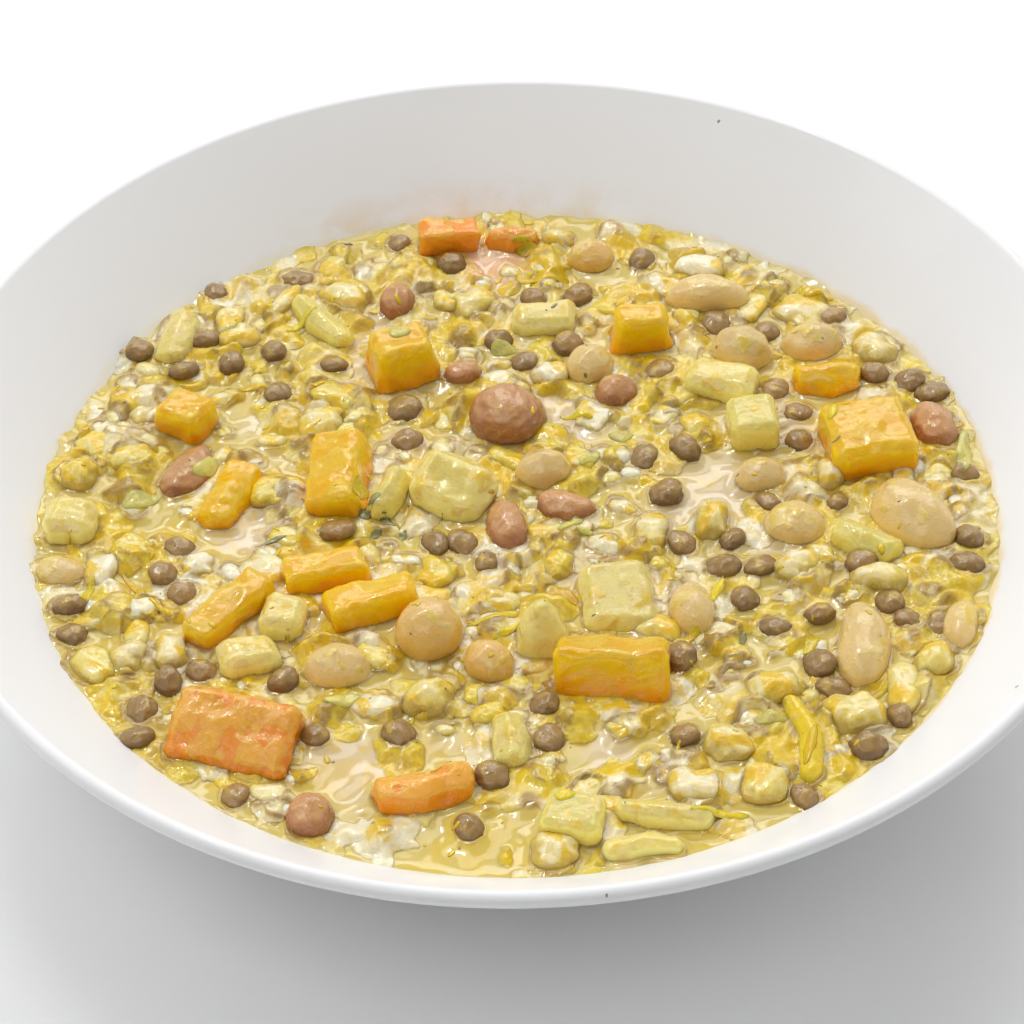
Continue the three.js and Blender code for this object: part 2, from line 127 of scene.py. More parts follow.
# Where the lentils lie
LENTIL_DIAMETER = 7.0
LENTIL_THICKNESS = (3.8, 4.9)
LENTIL_PLACES = [
    (-59, 65), (-43, 69), (-60.5, 50.5), (-47, 46.5), (-55, 42.5), (-35, 42.5), (-73, 47), (-45.5, 34.5),
    (-64, 41), (-23, 79.5), (-12, 72.5), (4, 61), (13, 62), (26, 72.5), (-3, 48.5), (2, 42.5),
    (10.5, 47), (28, 40), (40, 53), (49, 50), (62.5, 54.5), (69.5, 37), (76, 35), (80, 31.5),
    (50, 33), (54, 27), (54, 18.5), (84, 8), (83, -9), (82, -16), (59.5, 1.5), (32, 16),
    (39.5, -8.5), (37.5, -15), (44, -15), (41, -24), (54, -28.5), (46, -31), (70, -29.5), (67, -25.5),
    (47, 1.5), (30.5, -9.5), (63, -15), (-21, 29), (-20.5, 20), (-15, -8), (-9.5, -8), (-5.5, -13.5),
    (24, 14.5), (28, 4), (-64.5, -15.5), (-62, -8.5), (-60.5, -20.5), (-81, -23), (-80, -30.5),
    (-33, -4.8), (-56, -39.5), (-62, -43), (-41.5, -43), (-66.5, -49), (-66.5, -56), (-49, -69.5),
    (-36, -56), (28.5, -39), (28.5, -57.5), (5, -58), (4, -49.5), (-21, -56), (-5, -66.5), (-9, -78),
    (53, -41), (55.5, -46.5), (60, -61), (66, -53.5), (48.5, -72), (75.5, -31),
]
# Lentils that the liquid almost covers
FAINT_LENTIL_PLACES = [
    (-38, 71), (-29, 73.5), (47, 67), (-47, 64), (-17, 54), (60.5, 26), (16, -13.5), (-43.5, -71),
    (2, -71.5), (22.5, -64.5), (41, -57), (35, -45.5), (-8, -52), (-25, -47),
]

# Lumps drawn at random: their least and greatest length, the places tried and the most kept
LARGE_LUMPS = ((6.5, 11.0), 900, 75)
BARLEY_GRAINS = ((4.5, 6.5), 1200, 110)
SMALL_LUMPS = ((2.2, 4.0), 2000, 70)

# Tiny flakes drawn at random: how many, their least and greatest length, and their thickness
YELLOW_FLECKS = (110, (0.6, 2.0), 0.4)
HERB_SPECKS = (80, (0.3, 0.8), 0.3)

# Thickness of what lies on the rest
SHRED_THICKNESS = 0.8
CHIP_THICKNESS = 1.2
LEAF_THICKNESS = 0.4
SPECK_THICKNESS = 0.16

# Small pieces with their x, y, length, width, rise, turn and paleness
SMALL_PIECES = [
    (-45.9, 5.6, 7, 7, 3, 0, 0.1), (7.6, -14.5, 6, 7, 3.5, 0, 0.1), (-72.6, 15.6, 8, 7, 3.5, 10, 0.2),
    (37.4, 70, 10, 6.5, 3, 0, 0.9), (9.2, 79.6, 7, 6, 3.5, 0, 0.5), (5.6, -83.2, 8, 7.5, 3.2, 0, 0.6),
    (36, -3.8, 8.5, 6, 4, 90, 0.4), (24.6, -6.2, 10, 7, 3, 85, 0.6), (-16, -48.4, 8.5, 7.5, 4, 0, 0.4),
    (30, -69.6, 8, 7.5, 4, 0, 0.7), (-45.4, 61, 12, 4.5, 3, 62, 0.6), (-82, 11.2, 7, 7, 4, 0, 0.2),
    (67.4, -47, 11, 6, 3, 80, 0.4), (73, -40.6, 10, 6.5, 4, 66, 0.4), (65.5, -20, 10.5, 7, 4.5, 0, 0.5),
    (-75.6, -38, 9, 6.5, 3, -60, 0.3), (-69.4, -36.6, 8.5, 6.5, 3.6, 80, 0.6),
    (-62, -35.6, 8, 6, 3.4, 95, 0.6), (58.4, -53, 10, 9, 4, 20, 0.4), (44.6, -46.6, 11, 8.5, 4, 15, 0.5),
    (36, -59.6, 8, 8, 3.6, 0, 0.5), (41.6, -69.4, 8, 8, 3.6, 0, 0.4), (70, 44.6, 9.5, 8, 3.6, 0, 0.5),
    (56.5, 55.5, 11, 9, 2.6, -40, 0.6), (51, -16.6, 7, 7, 3.4, 60, 0.6), (58.6, 8.4, 7.5, 6.5, 3.6, 80, 0.6),
    (-53.6, 50.8, 8, 6, 3, 0, 0.4), (-55.8, 55.6, 8.5, 5, 3, 85, 0.5), (-33, 62.4, 11, 8, 3.4, -20, 0.5),
    (-8, 60, 9, 7.5, 3.4, 40, 0.4), (-76, -14, 8, 6, 2.6, 80, 1.0), (-69, -24, 9, 6, 3, 10, 1.0),
    (7, 38, 7, 6, 3, 0, 1.0), (-12.5, 61, 6.5, 6, 2.6, 0, 0.4), (20, 1, 6, 4.5, 1.6, -30, 0.8),
]

# Open liquid between the pieces, with its x, y and reach
POOLS = [
    (-51, -2, 9), (-44, 15, 5), (-31, -62, 8), (-31, -70, 7), (37, 11, 7), (22, 1, 8), (27, -3, 6),
    (-5, 75, 6), (41, -73, 6), (52, -76, 6), (4, -79, 8), (-12, -84, 9), (20, -88, 7), (-31, 40, 6),
    (-29, 50, 4), (55, 20, 5), (47, -11, 5), (9, 26, 6), (12, 19, 4), (-16, 57, 5), (-24, 24, 4),
    (-57, -29, 5), (-38, -30, 3), (62, -3, 4), (33, -20, 4), (30, -50, 5), (-12, -60, 5), (48, 38, 5),
    (38, 57, 4), (-66, 3, 4), (-62, 31, 4), (-22, -64, 4), (16, 68, 3), (-50, 26, 4), (15, -60, 5),
]

# Thin chips laid over the rest, each with its x, y, length, width and turn
SQUASH_SHREDS = [
    (6, 68, 11, 3.4, 4), (4, 76, 8, 2.4, -6), (-69.5, -18, 7, 1.5, -50), (-64.5, -24.5, 6, 1.3, -44),
    (-29, 4, 7, 2.2, 70), (-38, 36, 4, 2, 20), (8, -22, 7, 3.5, -40), (60, 60, 6, 1.8, 15),
    (30, -34, 6, 1.8, 30), (-14, -66, 5, 1.6, 60), (50, -62, 9, 1.8, 75), (-50, 36, 6, 1.6, 10),
]
GREEN_SHREDS = [
    (7.5, -74, 3.4, 2.8, 10), (-4, -28, 10, 1.8, 20), (-1, -31, 8, 1.6, 34),
    (36, -22, 7, 2.2, 70), (20, 56, 8, 2, -20), (-42, 54, 7, 1.8, 40), (52, -36, 6, 2, 60),
    (34, -76, 10, 2, 8), (60, 20, 5, 1.8, 80), (-78, -20, 6, 1.8, 75), (12, 26, 6, 1.6, -15),
]
PALE_CHIPS = [
    (10, -4, 5, 2, 30), (12.5, -6, 3, 1.4, -20), (84.5, 14, 12, 3, 84), (-31, -48, 7, 3, 20),
    (-22, 42, 4, 3, 10), (14, 14, 6, 2.4, 50), (20, 21, 5, 2.6, -30),
    (-2, 46, 5, 2.6, 0), (-58, 12, 6, 3, 60), (44, -54, 6, 3, 10), (-70, 4, 8, 3.4, 30),
]
HERB_LEAVES = [
    (-27, 0, 4.2, 2.2, 30), (-23.5, -3, 3.6, 1.8, -20), (-21, -5.5, 2.8, 1.2, 60), (-26, -5.5, 2.6, 1.2, 10),
    (-45, -7, 6, 1.0, 20), (21, 20, 2, 0.8, 0), (8, 55, 1.8, 0.7, 45), (-33, 78, 1.6, 0.7, 10),
    (60, 12, 1.6, 0.6, 30), (40, -34, 3.2, 1.2, 70),
]

# Dark specks on the bowl's lip
BOWL_SPECKS = [(42.2, 96.8, 0.6, 0.5, 0), (84.4, -61.5, 0.8, 0.5, 40), (13.4, -108.8, 0.5, 0.4, 0)]

# Voxel size, rounds of wear, and how much soup film lies on top, by kind of large piece
KINDS = {
    "squash": (0.45, 7, 0.36),
    "carrot": (0.45, 6, 0.55),
    "borlotti": (0.42, 40, -0.2),
    "white_bean": (0.42, 40, 0.15),
    "chickpea": (0.42, 44, 0.15),
    "potato": (0.45, 8, 0.30),
    "celery": (0.42, 9, 0.15),
    "leek": (0.40, 12, 0.15),
}
# Material slots of the kinds that have none of their own name
SLOTS = {"borlotti": "red_bean", "leek": "celery"}


def rgb(red, green, blue):
    """A screen colour from 0 to 255 as the linear colour that shaders take."""
    linear = []
    for value in (red, green, blue):
        part = value / 255
        linear.append(part / 12.92 if part <= 0.04045 else ((part + 0.055) / 1.055) ** 2.4)
    return (*linear, 1.0)


def waves(points, size, seed):
    """Smooth noise from about -1 to 1, with bumps about one size across, at 2-D or 3-D points."""
    random = np.random.default_rng(seed)
    count = 14
    directions = random.normal(size=(count, points.shape[1]))
    directions /= np.linalg.norm(directions, axis=1)[:, None]
    lengths = 2 * size * random.uniform(0.7, 1.5, count)
    phases = random.uniform(0, 2 * math.pi, count)
    turns = points @ (directions * (2 * math.pi / lengths)[:, None]).T + phases
    return np.sin(turns).sum(axis=1) / math.sqrt(count)


def ease(value, low, high):
    """From 0 at low to 1 at high, smoothly. All three may be arrays."""
    share = np.clip((value - low) / (high - low), 0, 1)
    return share * share * (3 - 2 * share)


def add_piece(name, points, faces, look, material, slot, replaces=()):
    """A shown mesh that rides on the bowl. Look holds up to four shares a point, for its material."""
    mesh = bpy.data.meshes.new(name)
    mesh.from_pydata((np.asarray(points) * METRES).tolist(), [], [list(face) for face in faces])
    mesh.shade_smooth()
    if look is not None:
        colours = np.ones((len(points), 4), np.float32)
        colours[:, : look.shape[1]] = look
        layer = mesh.attributes.new("look", "FLOAT_COLOR", "POINT")
        layer.data.foreach_set("color", colours.ravel())
    mesh.materials.append(material)
    piece = bpy.data.objects.new(name, mesh)
    bpy.context.scene.collection.objects.link(piece)
    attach(piece, "root")
    if replaces:
        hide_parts(*replaces)
    return piece


def read_mesh(mesh):
    """Points in millimetres, normals, and faces as lists."""
    points = np.zeros(len(mesh.vertices) * 3)
    mesh.vertices.foreach_get("co", points)
    normals = np.zeros(len(mesh.vertices) * 3)
    mesh.vertices.foreach_get("normal", normals)
    faces = [tuple(face.vertices) for face in mesh.polygons]
    return points.reshape(-1, 3) / METRES, normals.reshape(-1, 3), faces


def ball(rounds):
    """Points and triangles of a ball of radius 1."""
    form = bmesh.new()
    bmesh.ops.create_icosphere(form, subdivisions=rounds, radius=1)
    points = np.array([v.co for v in form.verts])
    faces = np.array([[v.index for v in face.verts] for face in form.faces])
    form.free()
    return points, faces


def dome(sides, rings):
    """Points and triangles of a ball of radius 1 down to a little below its middle, closed flat."""
    points = [(0.0, 0.0, 1.0)]
    for ring in range(1, rings + 1):
        slope = DOME_SLOPE * ring / rings
        for side in range(sides):
            around = 2 * math.pi * side / sides
            reach = math.sin(slope)
            points.append((reach * math.cos(around), reach * math.sin(around), math.cos(slope)))
    points.append((0.0, 0.0, math.cos(DOME_SLOPE)))
    last = len(points) - 1
    faces = []
    for side in range(sides):
        after = (side + 1) % sides
        faces.append((0, 1 + side, 1 + after))
        for ring in range(rings - 1):
            start = 1 + ring * sides
            faces.append((start + side, start + sides + side, start + sides + after))
            faces.append((start + side, start + sides + after, start + after))
        start = 1 + (rings - 1) * sides
        faces.append((start + side, last, start + after))
    return np.array(points), np.array(faces)


def join(parts):
    """Joins (points, faces, look) parts into one of each."""
    points, faces, looks = [], [], []
    start = 0
    for part_points, part_faces, look in parts:
        points.append(part_points)
        faces.append(part_faces + start)
        looks.append(look)
        start += len(part_points)
    return np.concatenate(points), np.concatenate(faces), np.concatenate(looks)


def turned(points, turn=0.0, tip=0.0, lean=0.0):
    """Points turned about the upright, after a tip about x and a lean about y, in degrees."""
    matrix = (
        Matrix.Rotation(math.radians(turn), 3, "Z")
        @ Matrix.Rotation(math.radians(lean), 3, "Y")
        @ Matrix.Rotation(math.radians(tip), 3, "X")
    )
    return points @ np.array(matrix).T


def search_tree(pieces):
    """All these pieces' faces in one tree for nearest points and rays."""
    points, faces, start = [], [], 0
    for piece in pieces:
        piece_points, _, piece_faces = read_mesh(piece.data)
        points.append(piece_points)
        faces.extend([tuple(i + start for i in face) for face in piece_faces])
        start += len(piece_points)
    return BVHTree.FromPolygons(np.concatenate(points).tolist(), faces)


def new_tree(name):
    """A new material and its tree of shader nodes."""
    material = bpy.data.materials.new(name)
    material.use_nodes = True
    return material, material.node_tree


def feed(tree, socket, value):
    """Gives an input another node's output, or a plain value."""
    if isinstance(value, bpy.types.NodeSocket):
        tree.links.new(value, socket)
    else:
        socket.default_value = value


def add_node(tree, kind, settings=None, **inputs):
    """A shader node with its settings and inputs."""
    node = tree.nodes.new(kind)
    for setting, value in (settings or {}).items():
        setattr(node, setting, value)
    for name, value in inputs.items():
        feed(tree, node.inputs[name.replace("_", " ")], value)
    return node


def mix(tree, factor, first, second, blend="MIX"):
    """The first colour where the factor is 0 and the second where it is 1."""
    node = add_node(tree, "ShaderNodeMix", {"data_type": "RGBA", "blend_type": blend})
    feed(tree, node.inputs[0], factor)
    feed(tree, node.inputs[6], first)
    feed(tree, node.inputs[7], second)
    return node.outputs[2]


def math_node(tree, operation, first, second=0.0):
    """The result of one sum on two values."""
    node = add_node(tree, "ShaderNodeMath", {"operation": operation})
    feed(tree, node.inputs[0], first)
    feed(tree, node.inputs[1], second)
    return node.outputs[0]


def plus(tree, first, second):
    """The sum of two values."""
    return math_node(tree, "ADD", first, second)


def times(tree, first, second):
    """The product of two values."""
    return math_node(tree, "MULTIPLY", first, second)


def about_zero(tree, value, scale):
    """A share from 0 to 1 moved to lie about 0, and scaled."""
    return times(tree, math_node(tree, "SUBTRACT", value, 0.5), scale)


def spread(tree, value, low, high, to_low=0.0, to_high=1.0):
    """A value mapped smoothly from one range to another."""
    node = add_node(tree, "ShaderNodeMapRange", {"interpolation_type": "SMOOTHSTEP"}, Value=value,
                    From_Min=low, From_Max=high, To_Min=to_low, To_Max=to_high)
    return node.outputs["Result"]


def millimetres(tree):
    """Coordinates of the mesh in millimetres."""
    place = add_node(tree, "ShaderNodeTexCoord").outputs["Object"]
    return add_node(tree, "ShaderNodeMapping", {}, Vector=place, Scale=(1000, 1000, 1000)).outputs["Vector"]


def axes_of(tree, vector):
    """The x, y and z of a vector."""
    return list(add_node(tree, "ShaderNodeSeparateXYZ", {}, Vector=vector).outputs)


def upward(tree):
    """How far a face looks up, from -1 to 1."""
    return axes_of(tree, add_node(tree, "ShaderNodeNewGeometry").outputs["Normal"])[2]


def look_shares(tree):
    """The four shares that each point's look holds."""
    attribute = add_node(tree, "ShaderNodeAttribute", {"attribute_name": "look"})
    parts = add_node(tree, "ShaderNodeSeparateColor", {}, Color=attribute.outputs["Color"])
    return [*parts.outputs, attribute.outputs["Alpha"]]


def noise(tree, place, size, detail=2.0, rough=0.5, distortion=0.0):
    """Noise with bumps of about one size in millimetres."""
    node = add_node(tree, "ShaderNodeTexNoise", {}, Vector=place, Scale=1 / (2 * size),
                    Detail=detail, Roughness=rough, Distortion=distortion)
    return node.outputs["Fac"]


def finish_shader(tree, colour, height, relief, roughness, coat, scatter, scatter_colour, depth=1.0):
    """Sets the material's one shader: a wet food with light scattered below its skin."""
    shader = tree.nodes["Principled BSDF"]
    feed(tree, shader.inputs["Base Color"], colour)
    for share, socket in ((1.0, "Normal"), (FILM_RELIEF, "Coat Normal")):
        reach = share * relief * METRES
        bump = add_node(tree, "ShaderNodeBump", {}, Height=height, Strength=1.0, Distance=reach)
        feed(tree, shader.inputs[socket], bump.outputs["Normal"])
    feed(tree, shader.inputs["Roughness"], roughness)
    shader.inputs["Coat Weight"].default_value = coat
    shader.inputs["Coat Roughness"].default_value = FILM_ROUGHNESS
    shader.inputs["Specular IOR Level"].default_value = FOOD_SPECULAR
    shader.inputs["Subsurface Weight"].default_value = scatter
    shader.inputs["Subsurface Radius"].default_value = scatter_colour
    shader.inputs["Subsurface Scale"].default_value = depth * METRES


def food_material(name, top, side, deep_and_shade, film, flesh=3.0, grain=0.7, relief=0.12, coat=0.9, scatter=0.25,
                  spot=None, spot_size=1.2, roughness=(0.18, 0.38), film_share=0.82, depth=1.0):
    """Wet cooked food: the side colour above and a deeper colour below, partly the flesh's own and partly
    painted shade; faces that look up take the top colour, as painted light; and soup film where look says.
    """
    material, tree = new_tree(name)
    place = millimetres(tree)
    film_mask, tone, rise, _ = look_shares(tree)
    mottle = noise(tree, place, flesh, 3.0, 0.6, 0.6)
    fine = noise(tree, place, grain, 3.0, 0.65, 0.4)
    tiny = noise(tree, place, 0.25, 2.0, 0.6)
    uneven = about_zero(tree, mottle, 0.8)
    # Painted shade: a deeper colour low down towards the soup, partly the flesh's own deeper colour and
    # partly painted shade
    colour = mix(tree, spread(tree, plus(tree, rise, uneven), 0.0, 0.8), deep_and_shade, side)
    # Painted light and shade: faces that look up take the top colour and the rest the side colour, as lit
    # and shaded copies of one flesh
    lit_facing = plus(tree, upward(tree), uneven)
    colour = mix(tree, spread(tree, lit_facing, 0.4, 0.95), colour, top)
    colour = mix(tree, spread(tree, fine, 0.4, 0.75, 0.0, 0.25), colour, deep_and_shade)
    if spot:
        spots = noise(tree, place, spot_size, 2.0, 0.5, 1.0)
        colour = mix(tree, spread(tree, spots, 0.55, 0.7, 0.0, 0.5), colour, spot)
    ragged = plus(tree, film_mask, times(tree, fine, 0.9))
    cover = spread(tree, ragged, 0.6, 1.3)
    film_tint = mix(tree, spread(tree, noise(tree, place, 1.2, 3.0), 0.4, 0.64), film, rgb(226, 194, 66))
    colour = mix(tree, times(tree, cover, film_share), colour, film_tint)
    shade = mix(tree, tone, (0.84, 0.84, 0.84, 1), (1.06, 1.06, 1.06, 1))
    rough = spread(tree, fine, 0.3, 0.7, *roughness)
    bumps = plus(tree, fine, times(tree, cover, 0.4))
    bumps = plus(tree, bumps, times(tree, tiny, 0.6))
    colour = mix(tree, 1.0, colour, shade, "MULTIPLY")
    finish_shader(tree, colour, bumps, relief, rough, coat, scatter, (1.0, 0.75, 0.45), depth)
    return material


def clod_colour(tree, pale):
    """Cooked grain and potato from olive brown through yellow to nearly white."""
    ramp = add_node(tree, "ShaderNodeValToRGB", {}, Fac=pale)
    stops = [(0.0, rgb(202, 170, 70)), (0.16, rgb(214, 184, 46)), (0.34, rgb(222, 196, 54)),
             (0.52, rgb(227, 206, 110)), (0.72, rgb(232, 215, 158)), (1.0, rgb(238, 229, 198))]
    elements = ramp.color_ramp.elements
    for place, colour in stops[1:-1]:
        elements.new(place).color = colour
    elements[0].color, elements[-1].color = stops[0][1], stops[-1][1]
    return ramp.outputs["Color"]


def soup_material():
    """Creamy liquid, greyer in its pools as a painted sheen, with soft clods where look says, painted shade
    round their edges, and a painted dark line where the liquid meets a piece.
    """
    material, tree = new_tree("cream_soup")
    place = millimetres(tree)
    clod, pale, grey, rim = look_shares(tree)
    fine = noise(tree, place, 0.7, 3.0, 0.6, 0.5)
    middle = noise(tree, place, 2.2, 3.0, 0.55, 0.8)
    # Painted sheen: greyer, paler liquid where the grey share is high, in the pools and away from the wall,
    # standing in for the room's reflection
    liquid = mix(tree, grey, rgb(212, 190, 104), rgb(220, 200, 162))
    liquid = mix(tree, spread(tree, middle, 0.42, 0.7, 0.0, 0.35), liquid, rgb(220, 198, 128))
    mottled = plus(tree, pale, about_zero(tree, fine, 0.9))
    body = clod_colour(tree, plus(tree, mottled, about_zero(tree, middle, 0.9)))
    ragged = plus(tree, clod, about_zero(tree, fine, 0.5))
    colour = mix(tree, spread(tree, ragged, 0.3, 0.8, 0.0, 1.0), liquid, body)
    # Painted shade: darker and more olive where clod meets liquid, round the edges of the clods
    border = times(tree, clod, math_node(tree, "SUBTRACT", 1.0, clod))
    colour = mix(tree, times(tree, border, 0.4), colour, rgb(190, 160, 78))
    # Painted shade and dark reflection: a dark line in the liquid close to each piece
    colour = mix(tree, spread(tree, rim, 0.6, 0.95, 0.0, 0.85), colour, rgb(156, 122, 54))
    to_peach = add_node(tree, "ShaderNodeVectorMath", {"operation": "DISTANCE"})
    feed(tree, to_peach.inputs[0], place)
    feed(tree, to_peach.inputs[1], PEACH_PLACE)
    peach = spread(tree, to_peach.outputs["Value"], *PEACH_REACH, 0.7, 0.0)
    colour = mix(tree, peach, colour, rgb(238, 190, 150))
    stain = spread(tree, noise(tree, place, 4.0, 4.0, 0.65, 0.8), 0.48, 0.6, 0.0, 0.75)
    stain = times(tree, stain, spread(tree, clod, 0.1, 0.7, 0.45, 1.0))
    colour = mix(tree, stain, colour, rgb(228, 190, 8))
    bumps = plus(tree, fine, times(tree, middle, 0.6))
    bumps = times(tree, bumps, spread(tree, clod, 0.1, 0.9, 0.04, 1.0))
    rough = spread(tree, clod, 0.2, 0.9, 0.15, 0.38)
    finish_shader(tree, colour, bumps, 0.3, rough, 1.0, 0.45, (1.0, 0.85, 0.6), 2.0)
    return material


def glaze_material():
    """White glazed ware, stained inside: on the far wall, and in a line just above the soup."""
    material, tree = new_tree("white_glaze")
    place = millimetres(tree)
    inside = spread(tree, upward(tree), 0.1, 0.4)
    x, y, z = axes_of(tree, place)
    faint = noise(tree, place, 14.0, 2.0)
    colour = mix(tree, faint, (0.88, 0.88, 0.882, 1), (0.9, 0.9, 0.902, 1))
    ragged = noise(tree, place, 5.0, 4.0, 0.65, 0.6)
    low = spread(tree, z, SOUP_LEVEL + 0.5, SOUP_LEVEL + WALL_STAIN_HEIGHT, 1.0, 0.0)
    back = spread(tree, y, 60.0, 78.0)
    sideways = math_node(tree, "ABSOLUTE", plus(tree, x, -WALL_STAIN_MIDDLE))
    stain = times(tree, times(tree, low, back), spread(tree, sideways, 24.0, 46.0, 1.0, 0.0))
    stain = times(tree, stain, spread(tree, ragged, 0.35, 0.7))
    stain = times(tree, stain, inside)
    colour = mix(tree, times(tree, stain, 0.5), colour, rgb(232, 200, 150))
    above = plus(tree, z, about_zero(tree, noise(tree, place, 4.0, 4.0, 0.6), 3.0))
    line = spread(tree, above, SOUP_LEVEL + 0.3, SOUP_LEVEL + 1.8, 1.0, 0.0)
    line = times(tree, line, spread(tree, x, 20.0, 70.0, 0.25, 0.8))
    colour = mix(tree, times(tree, line, inside), colour, rgb(238, 216, 160))
    finish_shader(tree, colour, noise(tree, place, 9.0, 1.0), 0.05, 0.3, 0.15, 0.0, (1, 1, 1))
    return material


def speckled_material(name, size, first, second, roughness):
    """A plain surface that goes between two colours in speckles of about one size."""
    material, tree = new_tree(name)
    shader = tree.nodes["Principled BSDF"]
    colour = mix(tree, noise(tree, millimetres(tree), size), first, second)
    tree.links.new(colour, shader.inputs["Base Color"])
    shader.inputs["Roughness"].default_value = roughness
    return material


def speck_material():
    """A grey mark in the glaze."""
    return speckled_material("glaze_speck", 0.3, rgb(136, 132, 128), rgb(176, 172, 168), 0.5)


def floor_material():
    """A pale matt floor."""
    return speckled_material("pale_floor", 0.35, (0.92, 0.92, 0.922, 1), (0.95, 0.95, 0.952, 1), 0.7)


def make_camera():
    """The photograph's camera."""
    pitch, yaw, roll = CAMERA_PITCH, CAMERA_YAW, CAMERA_ROLL
    ahead = Vector((math.sin(yaw) * math.cos(pitch), math.cos(yaw) * math.cos(pitch), -math.sin(pitch)))
    level = ahead.cross(Vector((0, 0, 1))).normalized()
    above = level.cross(ahead)
    right = math.cos(roll) * level + math.sin(roll) * above
    up = math.cos(roll) * above - math.sin(roll) * level
    data = bpy.data.cameras.new("camera")
    data.sensor_width = SENSOR_WIDTH
    data.lens = FOCAL_PIXELS / PHOTO_PIXELS * SENSOR_WIDTH
    camera = bpy.data.objects.new("camera", data)
    bpy.context.scene.collection.objects.link(camera)
    matrix = Matrix((right, up, -ahead)).transposed().to_4x4()
    matrix.translation = Vector(CAMERA_PLACE) * METRES
    camera.matrix_world = matrix
    bpy.context.scene.camera = camera


def make_floor():
    """A pale floor that reaches well past the picture."""
    side = FLOOR_REACH
    mesh = bpy.data.meshes.new("floor")
    corners = [(-side, -side, 0), (side, -side, 0), (side, side, 0), (-side, side, 0)]
    mesh.from_pydata(corners, [], [(0, 1, 2, 3)])
    mesh.materials.append(floor_material())
    floor = bpy.data.objects.new("floor", mesh)
    bpy.context.scene.collection.objects.link(floor)


def add_light(name, place, width, length, power):
    """A broad lamp aimed at the bowl."""
    data = bpy.data.lights.new(name, "AREA")
    data.shape = "RECTANGLE"
    data.size, data.size_y = width, length
    data.energy = power
    light = bpy.data.objects.new(name, data)
    light.location = place
    light.rotation_euler = (-Vector(place)).to_track_quat("-Z", "Y").to_euler()
    bpy.context.scene.collection.objects.link(light)


def make_room():
    """A plain room, bright behind the bowl and at its sides, and dim on the camera's side."""
    world = bpy.data.worlds.new("room")
    world.use_nodes = True
    tree = world.node_tree
    x, y, _ = axes_of(tree, add_node(tree, "ShaderNodeTexCoord").outputs["Generated"])
    behind = spread(tree, y, -0.7, 0.9, 0.17, 0.5)
    sideways = spread(tree, math_node(tree, "ABSOLUTE", x), 0.3, 1.0, 0.0, 0.34)
    background = tree.nodes["Background"]
    background.inputs["Color"].default_value = (0.985, 0.99, 1.0, 1)
    tree.links.new(plus(tree, behind, sideways), background.inputs["Strength"])
    bpy.context.scene.world = world


def make_light():
    """Broad soft lamps above, behind and in front, a small one for glints, and the room."""
    make_room()
    for name, (place, width, length, power) in LAMPS.items():
        add_light(name, place, width, length, power)
    bpy.context.scene.view_settings.view_transform = "Standard"


def well_profile(inset, steps):
    """Radius and height of the well's inner face from the axis up to the soup."""
    floor = FLOOR_HEIGHT + inset
    points = [(FLOOR_RADIUS * part / FLOOR_STEPS, floor) for part in range(FLOOR_STEPS + 1)]
    reach = WELL_ARC_RADIUS - inset
    for step in range(1, steps + 1):
        slope = WALL_SLOPE * step / steps
        height = FLOOR_HEIGHT + WELL_ARC_RADIUS - reach * math.cos(slope)
        points.append((FLOOR_RADIUS + reach * math.sin(slope), height))
    return points


def bowl_outline():
    """The section of the wall, from the axis below, round the lip, to the axis inside."""
    inner = FOOT_RADIUS - FOOT_WIDTH
    outline = [(0.0, FOOT_HOLLOW), (inner * 0.5, FOOT_HOLLOW), (inner - FOOT_CHAMFER, FOOT_HOLLOW)]
    turns = [math.pi / 2 * step / FOOT_STEPS for step in range(FOOT_STEPS + 1)]
    for turn in turns:
        height = FOOT_CHAMFER * (1 - math.sin(turn))
        outline.append((inner + FOOT_CHAMFER * (1 - math.cos(turn)), height))
    for turn in turns:
        height = FOOT_CHAMFER * (1 - math.cos(turn))
        outline.append((FOOT_RADIUS - FOOT_CHAMFER * (1 - math.sin(turn)), height))
    beside_foot = FOOT_RADIUS + 1
    outline.append((beside_foot, FOOT_HOLLOW + WALL_THICKNESS))
    outline += [point for point in well_profile(-WALL_THICKNESS, WELL_STEPS) if point[0] > beside_foot]
    radius = LIP_THICKNESS / 2
    for step in range(LIP_STEPS + 1):
        around = WALL_SLOPE - math.pi / 2 + math.pi * step / LIP_STEPS
        height = BOWL_HEIGHT - radius + radius * math.sin(around)
        outline.append((RIM_RADIUS - radius + radius * math.cos(around), height))
    return outline + well_profile(0.0, WELL_STEPS)[::-1]


def lathe(outline, sides):
    """Turns a section about the upright axis. Its first and last points are on the axis."""
    ring = np.array(outline[1:-1])
    around = np.linspace(0, 2 * math.pi, sides, endpoint=False)
    points = [(0.0, 0.0, outline[0][1])]
    for radius, height in ring:
        points += [(radius * math.cos(a), radius * math.sin(a), height) for a in around]
    points.append((0.0, 0.0, outline[-1][1]))
    last = len(points) - 1
    faces = []
    for side in range(sides):
        after = (side + 1) % sides
        faces.append((0, 1 + after, 1 + side))
        for row in range(len(ring) - 1):
            start = 1 + row * sides
            faces.append((start + side, start + after, start + sides + after, start + sides + side))
        start = 1 + (len(ring) - 1) * sides
        faces.append((start + side, start + after, last))
    return points, faces


def make_bowl():
    """The glazed bowl."""
    points, faces = lathe(bowl_outline(), BOWL_SIDES)
    return add_piece("bowl_glazed", points, faces, None, glaze_material(), "glaze", ["bowl"])


